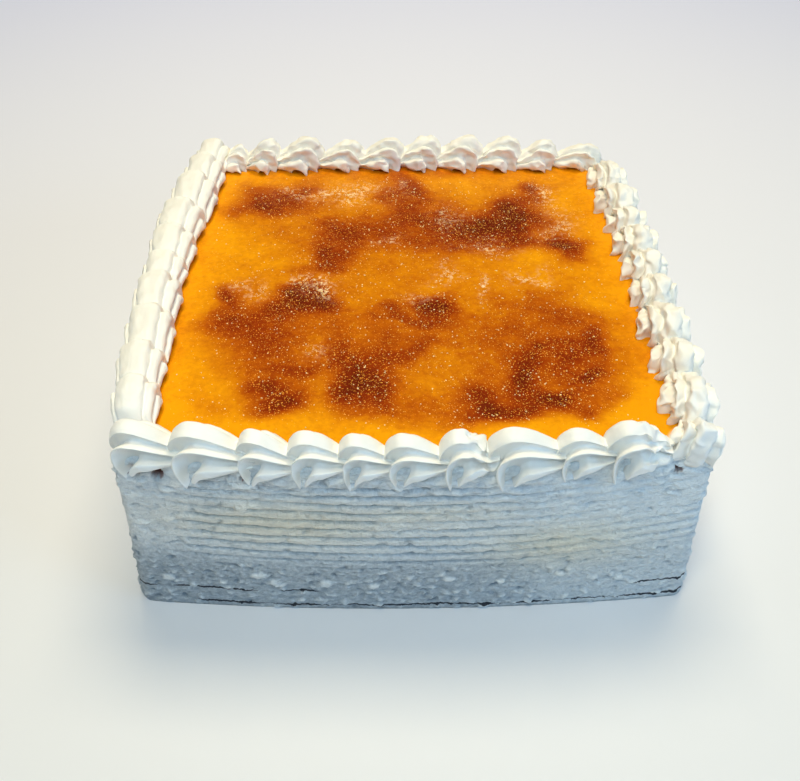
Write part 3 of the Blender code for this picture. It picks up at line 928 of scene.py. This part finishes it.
# Their sides towards the yolk are grooved more deeply.
GROOVED_HALF = (
    (0.38, -0.34), (0.62, -0.22), (0.82, -0.08), (0.93, 0.04), (0.965, 0.16), (0.95, 0.27),
    (0.86, 0.33), (0.70, 0.315), (0.55, 0.29), (0.49, 0.33), (0.53, 0.45), (0.62, 0.57),
    (0.685, 0.68), (0.67, 0.755), (0.57, 0.765), (0.43, 0.71), (0.32, 0.655), (0.27, 0.69),
    (0.265, 0.80), (0.25, 0.90), (0.19, 0.96), (0.08, 0.985),
)
# The left row is a broad smooth band between a narrow strip and a row of soft knobs.
STRIP_HALF = (
    (0.38, -0.34), (0.62, -0.22), (0.82, -0.08), (0.93, 0.05), (0.965, 0.20), (0.955, 0.36),
    (0.92, 0.48), (0.85, 0.54), (0.77, 0.54), (0.715, 0.56), (0.70, 0.62), (0.68, 0.71),
    (0.62, 0.81), (0.52, 0.885), (0.40, 0.935), (0.24, 0.97), (0.08, 0.985),
)
STRIP_INNER_HALF = (
    (-0.12, 0.985), (-0.28, 0.965), (-0.40, 0.915), (-0.47, 0.84), (-0.49, 0.75), (-0.51, 0.69),
    (-0.57, 0.68), (-0.66, 0.70), (-0.76, 0.68), (-0.84, 0.61), (-0.87, 0.52), (-0.85, 0.43),
    (-0.81, 0.36), (-0.84, 0.30), (-0.92, 0.26), (-0.96, 0.17), (-0.93, 0.05), (-0.80, -0.08),
    (-0.38, -0.34),
)
# On the front row the crest falls steeply to the yolk, and the ridges of that side lie low.
FRONT_INNER_HALF = (
    (-0.12, 0.99), (-0.24, 0.985), (-0.34, 0.97), (-0.40, 0.93), (-0.44, 0.83), (-0.47, 0.70),
    (-0.50, 0.56), (-0.56, 0.50), (-0.66, 0.50), (-0.73, 0.45), (-0.73, 0.36), (-0.66, 0.27),
    (-0.68, 0.21), (-0.80, 0.19), (-0.88, 0.12), (-0.86, 0.02), (-0.74, -0.12), (-0.40, -0.34),
)

# The ridges whose starts hang: place on the section and reach, both as shares like the section's.
MIDDLE_RIDGE = (0.60, 0.76, 0.20, 0.15)
LOW_RIDGE = (0.93, 0.27, 0.14, 0.12)
INNER_RIDGES = ((-0.76, 0.66, 0.12, 0.12), (-0.94, 0.20, 0.12, 0.12))
# How strongly the ridges towards the yolk hang, by row. How far a torn shell's cream strays.
INNER_HANG = {"front": 0.0, "right": 1.0, "back": 0.45, "left": 0.0}
TORN_STRAY = 0.0022

# The path of a shell, as in the solids: crest along and up, root along and up, and half-width.
SHELL_PATH = np.array((
    (0.05, -0.36, 0.50, 0.04, 0.84), (-0.07, 0.22, 0.54, 0.08, 0.97),
    (-0.03, 0.66, 0.57, 0.11, 1.00), (0.17, 0.98, 0.61, 0.13, 1.00),
    (0.43, 0.98, 0.67, 0.12, 0.94), (0.71, 0.76, 0.78, 0.09, 0.82),
    (0.98, 0.47, 0.95, 0.05, 0.63), (1.24, 0.21, 1.16, 0.01, 0.42),
))


def section_outline(outer_half, inner_half):
    """The whole section as a smooth line, from the outer foot over the crest to the inner foot."""
    marks = np.array(outer_half + inner_half)
    count = (len(marks) - 1) * PROFILE_STEPS
    return np.array([along_curve(marks, i / count) for i in range(count + 1)])


FRONT_SECTION = section_outline(OUTER_HALF, FRONT_INNER_HALF)
PLAIN_SECTION = section_outline(SOFT_HALF, tuple((-k, g) for k, g in reversed(GROOVED_HALF)))
STRIP_SECTION = section_outline(STRIP_HALF, STRIP_INNER_HALF)
SECTIONS = {
    "front": FRONT_SECTION,
    "right": PLAIN_SECTION,
    "back": PLAIN_SECTION,
    "left": STRIP_SECTION,
}


def on_ridge(across, up, ridge):
    """How near places on a section are to a ridge, 0 to 1."""
    middle, level, reach_across, reach_up = ridge
    return np.exp(-(((across - middle) / reach_across) ** 2) - ((up - level) / reach_up) ** 2)


def shell_points(side, along, length, size, twist, draw, torn):
    """The rings of one shell, each a closed section: shape (sections, points, 3).

    k and g are a section's places across and up, as shares of the half-width and of the height.
    """
    row = side.row
    heading = side.heading(along + length / 2)
    heading = heading * math.cos(twist) + side.outward * math.sin(twist)
    heading /= np.linalg.norm(heading)
    forward = np.array((*heading, 0.0))
    outwards = np.array((heading[1], -heading[0], 0.0))
    across = outwards * math.cos(row.tilt) - UP * math.sin(row.tilt)
    rise = UP * math.cos(row.tilt) + outwards * math.sin(row.tilt)
    start = np.array((*side.point(along, -row.inset), HEIGHT))
    height = SHELL_HEIGHT * size * (1.07 if side.name == "front" else 1.0)
    k, g = SECTIONS[side.name].T
    middle_ridge, low_ridge = on_ridge(k, g, MIDDLE_RIDGE), on_ridge(k, g, LOW_RIDGE)
    inner_ridges = INNER_HANG[side.name] * sum(on_ridge(k, g, ridge) for ridge in INNER_RIDGES)
    foot_hang, curl_hang = (draw.uniform(0.7, 1.25) * FOOT_HANG * size for _ in range(2))
    lean = draw.uniform(-0.05, 0.05)
    swing = [draw.uniform(-0.05, 0.05) for _ in range(3)]
    seed = draw.uniform(0, 50)
    rings = []
    for step in range(SHELL_SECTIONS):
        share = step / (SHELL_SECTIONS - 1)
        crest_on, crest_up, root_on, root_up, wide = along_curve(SHELL_PATH, share)
        if share > 0.45:
            wide += (0.98 - wide) * row.fill
            crest_up += (0.93 - crest_up) * row.fill * smooth_step(1.0, 0.85, share)
        root = start + forward * root_on * length + rise * root_up * height
        crest = start + forward * (crest_on + lean * share) * length + rise * crest_up * height
        crest += across * SHELL_HALF_WIDTH * size * swing[0] * math.sin(5 * share + seed)
        stem = crest - root
        # The ridges ripple a little as the bag is squeezed, and their rims are slightly torn.
        spots = np.column_stack((k * 2.2 + seed, g * 2.2, np.full(len(k), share * 2.6)))
        ripple = 1 + 0.030 * np.array([noise.noise(spot) for spot in spots.tolist()])
        fine = np.column_stack((k * 9 + seed, g * 9, np.full(len(k), share * 22)))
        tear = 1 + 0.012 * np.array([noise.noise(spot) for spot in fine.tolist()])
        half_width = SHELL_HALF_WIDTH * size * wide
        sideways = np.outer(k * ripple * tear * half_width, across)
        ring = root + sideways + np.outer(g * ripple * tear, stem)
        # The middle ridge starts as a pointed foot that hangs over the edge of the block.
        hang = middle_ridge * smooth_step(0.30, 0.0, share) * foot_hang
        ring += np.outer(hang, outwards * 0.65 - UP * 0.85)
        hang = low_ridge * smooth_step(0.30, 0.05, share) * curl_hang
        ring += np.outer(hang, outwards * 0.10 - UP * 0.55 - forward * 0.35)
        hang = inner_ridges * smooth_step(0.28, 0.0, share) * curl_hang
        ring -= np.outer(hang, outwards * 0.45 + UP * 0.45 + forward * 0.35)
        stray = row.loose
        if torn:
            stray = TORN_STRAY * smooth_step(0.45, 0.75, share)
        if stray:
            shreds = [bumps(ring, (0.0040, 0.0040, 0.0030), spot) for spot in (81, 82, 83)]
            ring += stray * np.column_stack(shreds)
        feet = []
        for foot, inwards in ((ring[-1], 1), (ring[0], -1)):
            skirt = foot + across * inwards * 0.12 * half_width
            feet.append((skirt[0], skirt[1], HEIGHT - SHELL_SKIRT))
        rings.append(np.vstack((ring, feet)))
    return np.clip(np.array(rings), SOLID_BOUNDS[0], SOLID_BOUNDS[1])


def make_shell(name, rings, material):
    """A closed shell through its rings, capped at both ends."""
    sections, columns = rings.shape[:2]
    faces = ring_faces(sections, columns)
    points = rings.reshape(-1, 3)
    ends = [points[:columns].mean(axis=0), points[-columns:].mean(axis=0)]
    first = len(points)
    last_ring = (sections - 1) * columns
    faces += [((i + 1) % columns, i, first) for i in range(columns)]
    faces += [(last_ring + i, last_ring + (i + 1) % columns, first + 1) for i in range(columns)]
    return add_piece(name, np.vstack((points, ends)), faces, material)


def make_row(side, material):
    """One row of shells, fused into a single piece."""
    # The solids' own draws give the twists. A second stream draws what only the looks have.
    draw = random.Random(side.row.seed)
    look = random.Random(side.row.seed + 1)
    along = side.row.begin
    shells = []
    for i, (length, size) in enumerate(side.row.shells):
        twist = math.radians(draw.uniform(-SHELL_TWIST, SHELL_TWIST))
        torn = side.name == "front" and i in TORN_SHELLS
        rings = shell_points(side, along, length, size, twist, look, torn)
        shells.append(make_shell(f"shell_{side.name}_{i}", rings, material))
        along += length
    row = shells[0]
    union = bpy.data.collections.new("shells")
    bpy.context.scene.collection.children.link(union)
    for shell in shells[1:]:
        bpy.context.scene.collection.objects.unlink(shell)
        union.objects.link(shell)
    modifier = row.modifiers.new("Fuse", "BOOLEAN")
    modifier.operation = "UNION"
    modifier.operand_type = "COLLECTION"
    modifier.collection = union
    modifier.solver = "MANIFOLD"
    plain_mesh(row)
    for shell in shells[1:]:
        bpy.data.objects.remove(shell)
    bpy.data.collections.remove(union)
    row.data.shade_smooth()
    row.name = row.data.name = f"piped_{side.name}"
    return row


# ---------------------------------------------------------------- floor, lights and camera

CAMERA_PLACE = (-0.00596, -0.31892, 0.30110)
CAMERA_DOWN, CAMERA_TURN, CAMERA_ROLL = 42.0, -0.65, 0.06
CAMERA_LENS = 40.79

# Area lights: place, what they aim at, width, height, watts and colour.
LIGHTS = {
    "warm_overhead": ((0.05, 0.26, 1.05), (0.0, 0.0, 0.06), 0.6, 0.4, 7.5, (1.0, 0.88, 0.62)),
    "warm_grazing": ((-0.12, -0.32, 1.10), (0.0, -0.06, 0.05), 0.2, 0.2, 3.2, (1.0, 0.90, 0.64)),
    "cool_front": ((-0.10, -0.75, 0.95), (0.0, -0.1, 0.04), 0.5, 0.3, 4.5, (0.55, 0.80, 1.0)),
    "cool_right": ((0.90, -0.50, 0.45), (0.1, -0.05, 0.05), 0.5, 0.5, 3.2, (0.34, 0.64, 1.0)),
}
AMBIENT_COLOUR, AMBIENT_STRENGTH = (0.75, 0.88, 1.0), 0.06


def aim(place, target):
    """The turn with which a light at a place points at a target."""
    return (Vector(target) - Vector(place)).to_track_quat("-Z", "Y").to_euler()


def make_floor(material):
    half = 6.0
    corners = [(-half, -half, 0), (half, -half, 0), (half, half, 0), (-half, half, 0)]
    floor = add_piece("floor", corners, [(0, 1, 2, 3)], material)


def make_lights():
    for name, (place, target, width, height, watts, colour) in LIGHTS.items():
        light = bpy.data.lights.new(name, "AREA")
        light.shape = "RECTANGLE"
        light.size, light.size_y = width, height
        light.energy = watts
        light.color = colour
        lamp = bpy.data.objects.new(name, light)
        lamp.location = place
        lamp.rotation_euler = aim(place, target)
        bpy.context.scene.collection.objects.link(lamp)
    world = bpy.data.worlds.new("studio")
    world.use_nodes = True
    background = world.node_tree.nodes["Background"]
    background.inputs["Color"].default_value = (*AMBIENT_COLOUR, 1)
    background.inputs["Strength"].default_value = AMBIENT_STRENGTH
    bpy.context.scene.world = world


def make_camera():
    lens = bpy.data.cameras.new("camera")
    lens.lens = CAMERA_LENS
    lens.sensor_width = 36.0
    lens.clip_start = 0.01
    camera = bpy.data.objects.new("camera", lens)
    camera.location = CAMERA_PLACE
    angles = 90 - CAMERA_DOWN, CAMERA_ROLL, CAMERA_TURN
    camera.rotation_euler = Euler([math.radians(angle) for angle in angles])
    bpy.context.scene.collection.objects.link(camera)
    bpy.context.scene.camera = camera
    bpy.context.scene.view_settings.view_transform = "Standard"


# ---------------------------------------------------------------- putting it together


def settle(piece, slot, *nodes):
    """The piece rides with the cake and stands for these solids, whose meshes it hides. The slot is
    not used.
    """
    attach(piece, "root")
    if nodes:
        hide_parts(*nodes)


make_camera()
make_lights()
make_floor(floor_material())

settle(make_coat(coat_material()), "whipped_cream", "cake_body")
yolk = make_yolk(yolk_material())
settle(yolk, "toasted_yolk", "yolk_top")
amber_sugar = sugar_material("amber_sugar", (1.0, 0.58, 0.10), 0.35)
white_sugar = sugar_material("white_sugar", (1.0, 0.88, 0.48), 0.35)
for name, material, attribute, per_square_metre, size, seed in (
    ("amber_sugar_grains", amber_sugar, "grainy", 520000, 0.00033, 5),
    ("white_sugar_grains", white_sugar, "grainy", 90000, 0.00052, 9),
    ("powder_sugar_grains", white_sugar, "powdery", 2400000, 0.00034, 14),
):
    sugar = make_sugar(name, yolk, material, attribute, per_square_metre, size, seed)
    settle(sugar, "toasted_yolk")
piped_cream = piped_material()
for side in SIDES:
    settle(make_row(side, piped_cream), "piped_cream", f"border_{side.name}")
